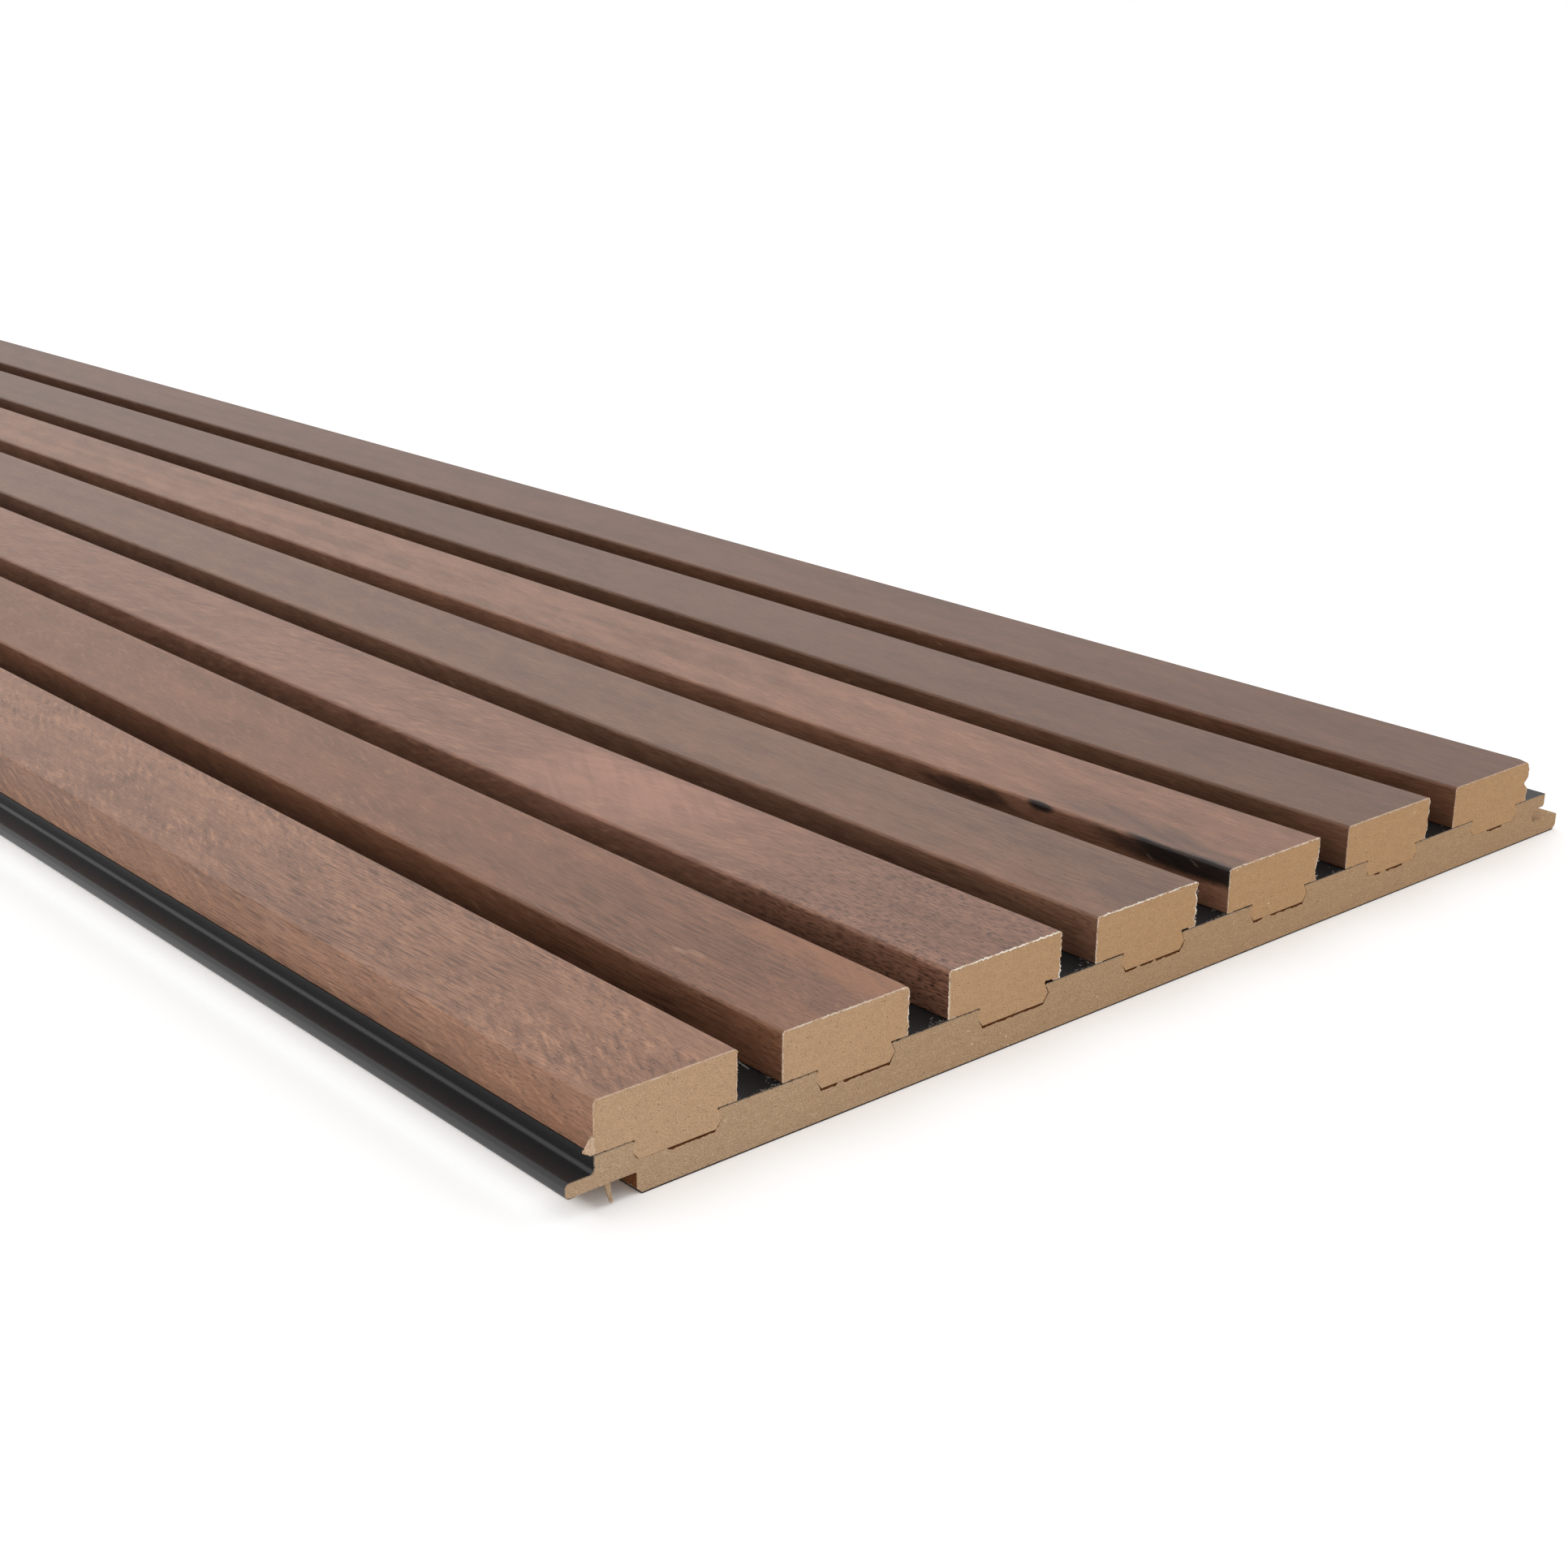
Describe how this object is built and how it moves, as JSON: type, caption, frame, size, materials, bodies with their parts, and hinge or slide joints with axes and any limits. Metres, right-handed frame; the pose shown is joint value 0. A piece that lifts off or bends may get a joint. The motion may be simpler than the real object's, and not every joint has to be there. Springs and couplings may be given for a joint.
{
  "type": "slatted wall panel",
  "caption": "Flat wall panel: parallel wood-look slats keyed into a black-faced MDF board, with a tongue on one long edge and a groove on the other to join panels side by side.",
  "frame": {"origin": "middle of the underside, which lies on the wall, halfway between the edge tongue's nose and the lower lip's tip and halfway along the length", "axes": "+X across the slats from the edge tongue to the edge groove, +Y along the slats away from the sawn end in the picture, +Z out of the wall through the face"},
  "size_m": [0.2904, 1.2, 0.02],
  "materials": {
    "board_mdf": "matte",
    "slat_mdf": "matte",
    "walnut_wrap": "satin",
    "black_foil": "satin",
    "backing_foil": "matte"
  },
  "bodies": {
    "root": {"base_board": "board_mdf", "backing_foil": "backing_foil", "tongue_edge_foil": "black_foil", "gap_foil_1": "black_foil", "gap_foil_2": "black_foil", "gap_foil_3": "black_foil", "gap_foil_4": "black_foil", "gap_foil_5": "black_foil", "gap_foil_6": "black_foil", "groove_edge_foil": "black_foil", "slat_core_1": "slat_mdf", "slat_core_2": "slat_mdf", "slat_core_3": "slat_mdf", "slat_core_4": "slat_mdf", "slat_core_5": "slat_mdf", "slat_core_6": "slat_mdf", "slat_core_7": "slat_mdf", "slat_wrap_1": "walnut_wrap", "slat_wrap_2": "walnut_wrap", "slat_wrap_3": "walnut_wrap", "slat_wrap_4": "walnut_wrap", "slat_wrap_5": "walnut_wrap", "slat_wrap_6": "walnut_wrap", "slat_wrap_7": "walnut_wrap"}
  },
  "joints": []
}
